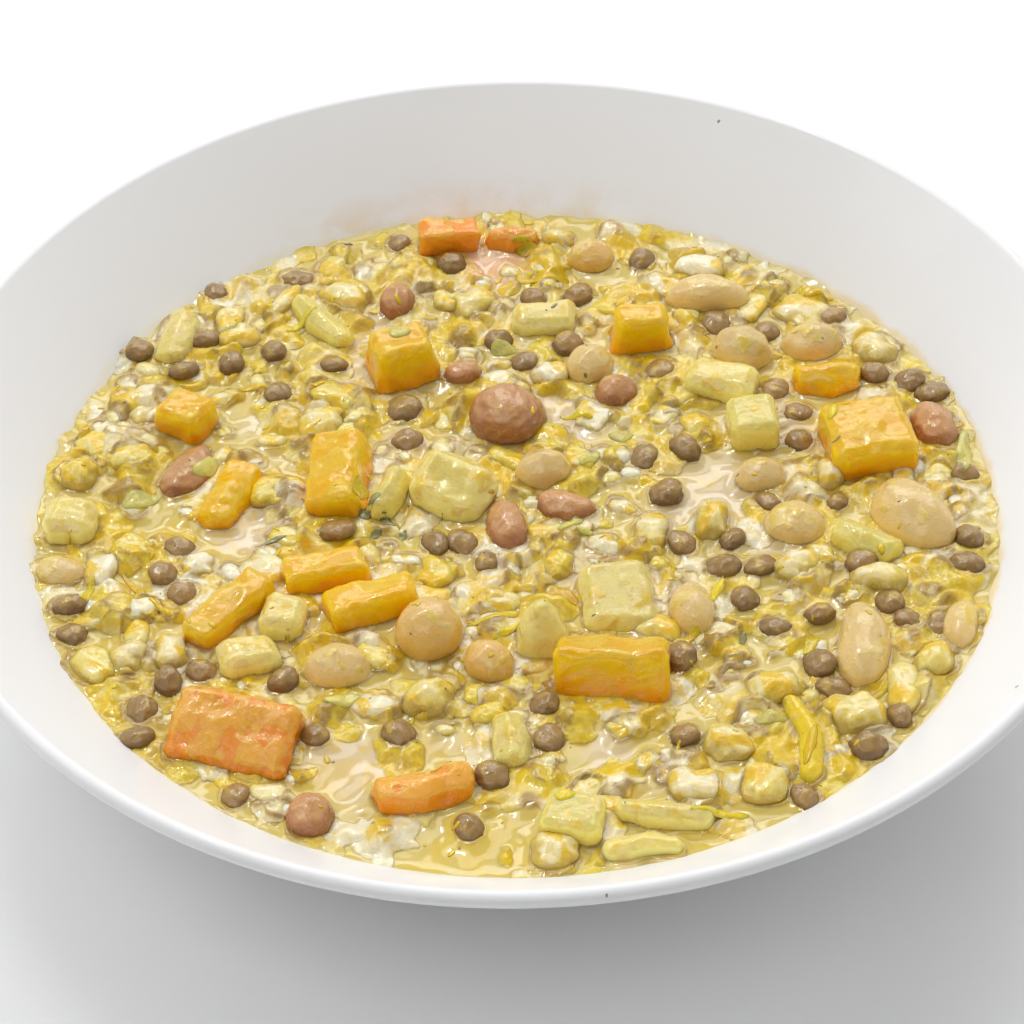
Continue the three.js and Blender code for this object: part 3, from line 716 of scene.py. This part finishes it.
def fine_copy(node, voxel, rounds):
    """A CAD node's solid as a fine even mesh with its edges worn, in its own size."""
    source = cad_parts[node]
    form = bmesh.new()
    form.from_mesh(source.data)
    bmesh.ops.remove_doubles(form, verts=form.verts, dist=1e-6)
    mesh = bpy.data.meshes.new("rough")
    form.to_mesh(mesh)
    form.free()
    rough = bpy.data.objects.new("rough", mesh)
    bpy.context.scene.collection.objects.link(rough)
    remesh = rough.modifiers.new("even", "REMESH")
    remesh.mode = "VOXEL"
    remesh.voxel_size = voxel * METRES
    soften = rough.modifiers.new("worn", "SMOOTH")
    soften.factor = 0.5
    soften.iterations = rounds
    bpy.context.view_layer.update()
    made = bpy.data.meshes.new_from_object(rough.evaluated_get(bpy.context.evaluated_depsgraph_get()))
    bpy.data.objects.remove(rough)
    points, _, faces = read_mesh(made)
    low, high = (np.array(corner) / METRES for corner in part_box(node))
    middle = (points.min(0) + points.max(0)) / 2
    points = (low + high) / 2 + (points - middle) * (high - low) / (points.max(0) - points.min(0))
    return points, faces


def normals_of(points, faces):
    """The normal at each point of a mesh."""
    mesh = bpy.data.meshes.new("probe")
    mesh.from_pydata(points.tolist(), [], faces)
    _, normals, _ = read_mesh(mesh)
    bpy.data.meshes.remove(mesh)
    return normals


def relief_of(kind, points, seed):
    """How far each point of a piece stands out, by the kind of food."""
    broad = waves(points, 4.0, seed)
    fine = waves(points, 1.3, seed + 500)
    if kind == "squash":
        return 0.32 * broad + 0.08 * fine
    if kind == "carrot":
        return 0.36 * broad + 0.14 * np.abs(waves(points, 2.0, seed + 900)) + 0.08 * fine
    if kind == "potato":
        return 0.2 * broad + 0.08 * waves(points, 2.2, seed + 900) + 0.05 * fine
    if kind in ("celery", "leek"):
        return 0.22 * broad + 0.10 * np.abs(waves(points, 1.8, seed + 900))
    if kind == "borlotti":
        wrinkles = np.abs(waves(points, 1.7, seed + 900))
        return 0.16 * broad - 0.17 * wrinkles + 0.04 * fine
    return 0.16 * broad + 0.03 * fine


def make_large_piece(node, seed, materials):
    """A worn copy of one CAD piece, with soup film on its flatter tops."""
    kind = next(kind for kind in KINDS if node.startswith(kind))
    voxel, rounds, cover = KINDS[kind]
    points, faces = fine_copy(node, voxel, rounds)
    normals = normals_of(points, faces)
    patches = 0.5 + 0.35 * waves(points, 3.2, seed + 300) + 0.15 * waves(points, 1.1, seed + 700)
    steep = 0.25 + 0.15 * waves(points, 1.5, seed + 800)
    film = ease(normals[:, 2], steep, steep + 0.5) * ease(patches, 0.75 - cover, 1.05 - cover)
    out = relief_of(kind, points, seed) + film * (0.06 + 0.05 * waves(points, 1.1, seed + 40))
    points = points + normals * out[:, None]
    tone = np.full(len(points), np.random.default_rng(seed).uniform(0.35, 0.85))
    top = points[:, 2].max()
    rise = np.clip((points[:, 2] - SOUP_LEVEL) / (top - SOUP_LEVEL), 0, 1)
    look = np.stack([film, tone, rise], axis=1)
    return add_piece(node + "_fine", points, faces, look, materials[kind], SLOTS.get(kind, kind), [node])


def kind_materials():
    """The flesh or skin of each kind of large piece."""
    cream = rgb(230, 210, 140)
    # Painted light and shade: each kind's top, side and deeper colours are lit and shaded copies of one
    # flesh, with the side and deeper colours raised to stand in for light on the fronts
    return {
        "squash": food_material("squash_flesh", rgb(228, 178, 4), rgb(255, 214, 0), rgb(252, 160, 0),
                                rgb(230, 200, 66), film_share=0.5, scatter=0.6, depth=3.0, relief=0.14),
        "carrot": food_material("carrot_flesh", rgb(234, 150, 52), rgb(248, 166, 32), rgb(240, 138, 18),
                                rgb(236, 196, 92), film_share=0.45, scatter=0.6, depth=3.0, relief=0.25),
        # The red beans' fine pale speckles are partly the skin's own mottle and partly painted glints
        "borlotti": food_material("red_bean_skin", rgb(206, 156, 104), rgb(184, 124, 78), rgb(156, 104, 64),
                                  rgb(224, 192, 138), relief=0.2, film_share=0.5, spot=rgb(208, 158, 112),
                                  spot_size=0.5),
        "white_bean": food_material("pale_bean_skin", rgb(222, 192, 128), rgb(242, 210, 138),
                                    rgb(236, 200, 118), cream, relief=0.18, spot=rgb(230, 208, 156),
                                    scatter=0.4, depth=2.0),
        "chickpea": food_material("chickpea_skin", rgb(228, 188, 116), rgb(238, 194, 104), rgb(224, 178, 82),
                                  cream, relief=0.18, scatter=0.4, depth=2.0, spot=rgb(232, 190, 84),
                                  spot_size=2.2),
        "potato": food_material("potato_flesh", rgb(222, 204, 118), rgb(252, 238, 150), rgb(252, 230, 128),
                                cream, relief=0.16, scatter=0.7, depth=3.0, spot=rgb(230, 208, 90),
                                spot_size=1.4),
        "celery": food_material("celery_flesh", rgb(212, 197, 108), rgb(246, 230, 126), rgb(244, 220, 104),
                                cream, relief=0.18, scatter=0.7, depth=3.0, spot=rgb(226, 210, 96),
                                spot_size=2.0),
        "leek": food_material("leek_flesh", rgb(230, 198, 20), rgb(246, 218, 56), rgb(240, 208, 48), cream,
                              relief=0.18, scatter=0.5, depth=2.0),
    }


def make_lentils(random):
    """Wrinkled lentils, tipped this way and that, some of them nearly covered by the liquid."""
    form, faces = ball(4)
    parts = []
    for index, (x, y) in enumerate(LENTIL_PLACES + FAINT_LENTIL_PLACES):
        faint = index >= len(LENTIL_PLACES)
        diameter = LENTIL_DIAMETER * random.uniform(0.86, 1.06)
        thickness = random.uniform(*LENTIL_THICKNESS)
        points = form * [diameter / 2, diameter / 2 * random.uniform(0.8, 1.0), thickness / 2]
        wrinkles = 0.06 * waves(points, 2.5, index) - 0.07 * np.abs(waves(points, 1.4, index + 200))
        points = points * (1 + wrinkles)[:, None]
        points = turned(points, 360 * random.random(), random.uniform(8, 34), random.uniform(-15, 15))
        height = SOUP_LEVEL - 1.7 if faint else SOUP_LEVEL + random.uniform(-0.2, 1.1)
        up = points[:, 2] / points[:, 2].max()
        film = ease(up, 0.2, 1.0) * ease(waves(points + index, 1.6, index + 60), -0.2, 0.9) * 0.6
        tone = np.full(len(points), random.uniform(0.1, 0.9))
        look = np.stack([film + 0.4 * faint, tone, np.clip(up, 0, 1)], axis=1)
        parts.append((points + [x, y, height], faces, look))
    skin = food_material("lentil_skin", rgb(164, 131, 78), rgb(150, 116, 70), rgb(120, 92, 54),
                         rgb(192, 158, 94), flesh=1.4, relief=0.2, scatter=0.1)
    return add_piece("lentils", *join(parts), skin, "soup")


def soft_lump(form, size, seed):
    """A lump's points, from round to nearly square, with gentle lobes, and their yellowness."""
    length, width, height = size
    square = (1.0, 0.8, 0.65)[seed % 3]
    points = np.sign(form) * np.abs(form) ** square * [length / 2, width / 2, height]
    lobes = 0.10 * waves(points, 0.34 * length, seed) + 0.04 * waves(points, 0.14 * length, seed + 50)
    points = points * (0.95 + lobes)[:, None]
    return points, ease(waves(points, 0.32 * length, seed + 130), -0.1, 0.7)


def smooth_grain(form, size, seed):
    """A barley grain's points, with a crease along it, and their yellowness."""
    length, width, height = size
    points = form * [length / 2, width / 2, height]
    crease = 0.16 * np.exp(-((points[:, 1] / 0.5) ** 2)) * (seed % 3 == 0)
    points = points * (1 + 0.07 * waves(points, 0.5 * length, seed) - crease)[:, None]
    return points, 0.4 * ease(waves(points, 0.4 * length, seed + 130), 0.2, 1.0)


def lump_part(shape, form, faces, place, size, seed, turn, tip, pale):
    """One lump in its place, ready to be joined: its look is yellowness, paleness and height share."""
    points, yellow = shape(form, size, seed)
    points = turned(points, turn, tip)
    rise = np.clip(points[:, 2] / points[:, 2].max(), 0, 1)
    look = np.stack([yellow, np.full(len(points), pale), rise], axis=1)
    return points + place, faces, look


def make_small_pieces(random):
    """The soft pieces whose places are read off the photograph."""
    form, faces = dome(44, 13)
    parts = []
    for index, (x, y, length, width, rise, turn, pale) in enumerate(SMALL_PIECES):
        place = [x, y, SOUP_LEVEL - 0.2]
        size = (1.1 * length, 1.1 * width, 1.05 * rise)
        tip = random.uniform(-8, 8)
        parts.append(lump_part(soft_lump, form, faces, place, size, index + 11, turn, tip, pale))
    return add_piece("small_pieces", *join(parts), lump_material("small_flesh"), "soup")


def lump_material(name):
    """A lump of soft grain or potato: paler towards its top as a painted highlight, stained yellow, and
    darker at its foot, partly the liquid over it and partly painted shade.
    """
    material, tree = new_tree(name)
    place = millimetres(tree)
    yellow, pale, rise, _ = look_shares(tree)
    fine = noise(tree, place, 0.5, 3.0, 0.6, 0.5)
    middle = noise(tree, place, 1.6, 3.0, 0.6, 0.8)
    # Painted highlight: paler towards each lump's top
    tone = plus(tree, times(tree, pale, 0.6), times(tree, rise, 0.4))
    tone = plus(tree, tone, about_zero(tree, middle, 0.9))
    tone = plus(tree, tone, about_zero(tree, fine, 0.5))
    colour = clod_colour(tree, tone)
    stained = plus(tree, yellow, about_zero(tree, fine, 1.0))
    colour = mix(tree, spread(tree, stained, 0.35, 0.85, 0.0, 0.85), colour, rgb(228, 188, 6))
    # Darker at the foot: partly the liquid over it, partly painted shade
    ragged = plus(tree, rise, about_zero(tree, middle, 1.0))
    colour = mix(tree, spread(tree, ragged, 0.45, 0.8, 0.85, 0.0), colour, rgb(198, 170, 86))
    bumps = plus(tree, times(tree, fine, 0.5), middle)
    rough = spread(tree, fine, 0.3, 0.7, 0.2, 0.4)
    finish_shader(tree, colour, bumps, 0.3, rough, 1.0, 0.6, (1.0, 0.85, 0.55), 2.0)
    return material


def is_open(x, y, taken):
    """True where nothing stands already, given (x, y, reach) rows."""
    gaps = np.hypot(taken[:, 0] - x, taken[:, 1] - y) - taken[:, 2]
    return gaps.min() > 0


def reach_of(length, width):
    """How far a piece keeps others off, from its length and width."""
    return 0.42 * math.sqrt(length * width)


def taken_places():
    """The x, y and reach of all that is placed one by one."""
    rows = []
    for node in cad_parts:
        if node in ("bowl", "soup"):
            continue
        low, high = (np.array(corner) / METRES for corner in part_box(node))
        middle = (low + high) / 2
        rows.append((middle[0], middle[1], reach_of(high[0] - low[0], high[1] - low[1])))
    rows += [(x, y, LENTIL_DIAMETER / 2 - 0.4) for x, y in LENTIL_PLACES]
    rows += [(x, y, reach_of(length, width)) for x, y, length, width, *_ in SMALL_PIECES]
    return rows


def make_lumps(name, random, shape, form, sizes, tries, most, taken):
    """Soft lumps of cooked grain and potato in the free soup, none of them in the pools."""
    parts = []
    for index in range(tries):
        length = random.uniform(*sizes)
        reach = (SOUP_RADIUS - 1.5 - 0.5 * length) * math.sqrt(random.random())
        around = 2 * math.pi * random.random()
        x, y = reach * math.cos(around), reach * math.sin(around)
        if len(parts) == most or not is_open(x, y, np.array(taken) + [0, 0, 0.3 * length]):
            continue
        if any(math.hypot(x - px, y - py) < wide for px, py, wide in POOLS):
            continue
        taken.append((x, y, 0.28 * length))
        size = (length, length * random.uniform(0.6, 0.9), length * random.uniform(0.24, 0.36))
        place = [x, y, SOUP_LEVEL - 0.3 * size[2]]
        turn, tip, pale = 360 * random.random(), random.uniform(-12, 12), random.random()
        parts.append(lump_part(shape, *form, place, size, index, turn, tip, pale))
    return add_piece(name, *join(parts), lump_material(name + "_flesh"), "soup")


def disc_points(cells):
    """A square grid drawn onto a disc of radius 1, as x and y."""
    side = np.linspace(-1, 1, cells + 1)
    u, v = np.meshgrid(side, side, indexing="xy")
    x = u * np.sqrt(1 - v * v / 2)
    y = v * np.sqrt(1 - u * u / 2)
    return x.ravel(), y.ravel()


def pool_share(x, y):
    """1 in the middle of a pool of open liquid, and 0 outside them all."""
    share = np.zeros(np.shape(x))
    for px, py, reach in POOLS:
        share = np.maximum(share, 1 - ease(np.hypot(x - px, y - py), 0.6 * reach, 1.25 * reach))
    return share


def draw_clods(random):
    """Soft clods that melt into the soup: x, y, length, width, turn, rise and paleness of each."""
    clods = []
    for _ in range(CLOD_COUNT):
        reach = SOUP_RADIUS * math.sqrt(random.random())
        around = 2 * math.pi * random.random()
        x, y = reach * math.cos(around), reach * math.sin(around)
        length = CLOD_LENGTH[0] + (CLOD_LENGTH[1] - CLOD_LENGTH[0]) * random.random() ** 1.4
        width = length * random.uniform(0.5, 0.95)
        turn, pale = math.pi * random.random(), random.random()
        rise = 0.5 + length * random.uniform(0.08, 0.22)
        if random.random() > pool_share(np.array(x), np.array(y)) + 0.02:
            clods.append((x, y, length, width, turn, rise, pale))
    return clods


def lay_clods(x, y, clods):
    """How high the clods stand at each point, how much of it is clod, and how pale."""
    places = np.stack([x, y], axis=1)
    x = x + 0.6 * waves(places, 2.6, 21) + 0.15 * waves(places, 1.1, 22)
    y = y + 0.6 * waves(places, 2.6, 23) + 0.15 * waves(places, 1.1, 24)
    total = np.ones(len(x))
    paleness = np.full(len(x), 0.5)
    for cx, cy, length, width, turn, rise, pale in clods:
        near = np.flatnonzero((np.abs(x - cx) < length) & (np.abs(y - cy) < length))
        east, north = x[near] - cx, y[near] - cy
        along = 2 * (east * math.cos(turn) + north * math.sin(turn)) / length
        across = 2 * (north * math.cos(turn) - east * math.sin(turn)) / width
        weight = np.exp(rise * (1 - (along**2 + across**2) ** 1.25) / CLOD_BLEND)
        total[near] += weight
        paleness[near] += weight * pale
    return CLOD_BLEND * np.log(total), 1 - 1 / total, paleness / total


def distances(places, height, tree):
    """How far each place, at one height, is from the nearest of a tree's faces."""
    return np.array([tree.find_nearest((x, y, height))[3] for x, y in places])


def soup_heights(x, y, tree, large_tree, random):
    """The soup's level over each point, and its look: clod, paleness, greyness and nearness to a piece."""
    places = np.stack([x, y], axis=1)
    rise, clod, pale = lay_clods(x, y, draw_clods(random))
    inner = 0.1 + 0.9 * ease(SOUP_RADIUS - np.hypot(x, y), 0.0, 6.0)
    inner *= 0.25 + 0.75 * ease(distances(places, SOUP_LEVEL + 0.5, large_tree), 0.3, 2.8)
    open_share = pool_share(x, y)
    inner *= 1 - 0.9 * open_share
    level = SOUP_LEVEL - 0.3 + 0.04 * waves(places, 9.0, 8) + inner * rise
    level += clod * (0.12 * waves(places, 1.5, 9) + 0.05 * waves(places, 0.8, 19))
    near = distances(places, SOUP_LEVEL + 0.5, tree)
    reach = MENISCUS_REACH * (1 + 0.5 * waves(places, 3.0, 13))
    # Nearness to a piece raises the meniscus here, and the material paints a dark line with it
    rim = np.exp(-near / np.maximum(reach, 0.3))
    to_wall = (np.hypot(x, y) / SOUP_RADIUS) ** 3
    # The grey share marks a painted sheen in the material: more in the pools, less near the wall
    grey = ease(0.35 + 0.4 * waves(places, 16.0, 10) + 0.5 * open_share - to_wall, 0.2, 1.0)
    return level + MENISCUS_HEIGHT * rim, np.stack([clod, pale, grey, rim], axis=1)


def grid_faces(cells):
    """The squares of a grid, and the points round its border in order."""
    row = cells + 1
    faces = []
    for i in range(cells):
        for j in range(cells):
            start = i * row + j
            faces.append((start, start + 1, start + row + 1, start + row))
    edge = list(range(row))
    edge += [i * row + cells for i in range(1, row)]
    edge += [cells * row + j for j in range(cells - 1, -1, -1)]
    edge += [i * row for i in range(cells - 1, 0, -1)]
    return faces, edge


def soup_top(tree, large_tree, random):
    """The liquid's uneven top, which climbs a little on the wall, and its look."""
    x, y = disc_points(SOUP_CELLS)
    x, y = x * SOUP_EDGE, y * SOUP_EDGE
    level, look = soup_heights(x, y, tree, large_tree, random)
    radius = np.hypot(x, y)
    places = np.stack([x, y], axis=1)
    ragged = 1 + 0.35 * waves(places, 8.0, 12) + 0.35 * waves(places, 2.4, 14)
    level = level + EDGE_CLIMB * np.exp(-(SOUP_EDGE - radius) / EDGE_REACH) * ragged
    along_wall = (level - SOUP_LEVEL) / math.tan(WALL_SLOPE) / SOUP_EDGE
    push = 1 + along_wall * (radius / SOUP_EDGE) ** 12
    return np.stack([x * push, y * push, level], axis=1), look


def make_soup(tree, large_tree, random):
    """The soup down to the bowl's inside, closed flat below."""
    top, top_look = soup_top(tree, large_tree, random)
    faces, edge = grid_faces(SOUP_CELLS)
    points = [top]
    count = len(top)
    ring = top[edge]
    around = ring[:, :2] / np.linalg.norm(ring[:, :2], axis=1)[:, None]
    before = edge
    # The wall's profile from one step below the soup's level down to the round's first step
    for low_radius, low_height in well_profile(-SOUP_IN_WALL, SOUP_SIDE_STEPS)[-2:FLOOR_STEPS:-1]:
        points.append(np.column_stack([around * low_radius, np.full(len(edge), low_height)]))
        after = list(range(count, count + len(edge)))
        faces += [
            (before[k], after[k], after[(k + 1) % len(edge)], before[(k + 1) % len(edge)])
            for k in range(len(edge))
        ]
        before = after
        count += len(edge)
    faces.append(tuple(before[::-1]))
    points = np.concatenate(points)
    look = np.zeros((len(points), 4))
    look[: len(top)] = top_look
    return add_piece("soup_liquid", points, faces, look, soup_material(), "soup", ["soup"])


def draped(points, tree):
    """Flat points laid down on whatever is below each of them."""
    laid = []
    for x, y, z in points:
        hit = tree.ray_cast((x, y, BOWL_HEIGHT), (0, 0, -1))[0]
        laid.append((x, y, z + (hit.z if hit else SOUP_LEVEL)))
    return np.array(laid)


def flake_part(form, faces, x, y, length, width, thickness, turn, seed, tree):
    """One thin ragged flake, ready to be joined."""
    points = form * [length / 2, width / 2, 1.0]
    points = points * (1 + 0.13 * waves(points[:, :2], 0.8 * width, seed))[:, None]
    points = turned(points * [1, 1, thickness / 2], turn)
    tone = np.full(len(points), (seed * 0.37) % 1)
    look = np.stack([0 * tone, tone, np.clip(form[:, 2], 0, 1)], axis=1)
    return draped(points + [x, y, 0], tree), faces, look


def make_flakes(name, random, count, sizes, thickness, material, tree):
    """Tiny flakes that lie on whatever is uppermost."""
    form, faces = ball(2)
    parts = []
    for index in range(count):
        length = random.uniform(*sizes)
        reach = (SOUP_RADIUS - 1 - 0.5 * length) * math.sqrt(random.random())
        around = 2 * math.pi * random.random()
        x, y = reach * math.cos(around), reach * math.sin(around)
        width = length * random.uniform(0.3, 0.6)
        turn = 360 * random.random()
        parts.append(flake_part(form, faces, x, y, length, width, thickness, turn, index, tree))
    add_piece(name, *join(parts), material, "soup")


def make_chips(name, rows, thickness, material, tree, slot="soup"):
    """Thin chips and shreds in their own places, over whatever is below."""
    form, faces = ball(3)
    parts = [flake_part(form, faces, x, y, length, width, thickness, turn, index + 5, tree)
             for index, (x, y, length, width, turn) in enumerate(rows)]
    add_piece(name, *join(parts), material, slot)


make_camera()
make_floor()
make_light()
bowl = make_bowl()
materials = kind_materials()
food_nodes = sorted(set(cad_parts) - {"bowl", "soup"})
standing = [make_large_piece(node, seed, materials) for seed, node in enumerate(food_nodes, 1)]
draw = np.random.default_rng(SEED)
standing.append(make_lentils(draw))
large_tree = search_tree(standing)
standing.append(make_small_pieces(draw))
taken = taken_places()
standing.append(make_lumps("lumps_large", draw, soft_lump, dome(44, 13), *LARGE_LUMPS, taken))
standing.append(make_lumps("barley_grains", draw, smooth_grain, dome(32, 10), *BARLEY_GRAINS, taken))
standing.append(make_lumps("lumps_small", draw, soft_lump, dome(20, 7), *SMALL_LUMPS, taken))
soup = make_soup(search_tree(standing), large_tree, draw)
cover = search_tree(standing + [soup])
yellow = food_material("squash_crumb", rgb(240, 206, 20), rgb(232, 190, 4), rgb(206, 150, 0),
                       rgb(236, 214, 158), relief=0.03)
herb = food_material("herb_speck", rgb(156, 154, 98), rgb(134, 130, 80), rgb(112, 106, 64),
                     rgb(164, 154, 100), relief=0.02, scatter=0.0)
make_flakes("yellow_flecks", draw, *YELLOW_FLECKS, yellow, cover)
make_flakes("herb_specks", draw, *HERB_SPECKS, herb, cover)
make_chips("squash_shreds", SQUASH_SHREDS, SHRED_THICKNESS, materials["squash"], cover)
make_chips("green_shreds", GREEN_SHREDS, SHRED_THICKNESS, materials["leek"], cover)
make_chips("pale_chips", PALE_CHIPS, CHIP_THICKNESS, materials["celery"], cover)
make_chips("herb_leaves", HERB_LEAVES, LEAF_THICKNESS, herb, cover)
make_chips("bowl_specks", BOWL_SPECKS, SPECK_THICKNESS, speck_material(), search_tree([bowl]), "glaze")
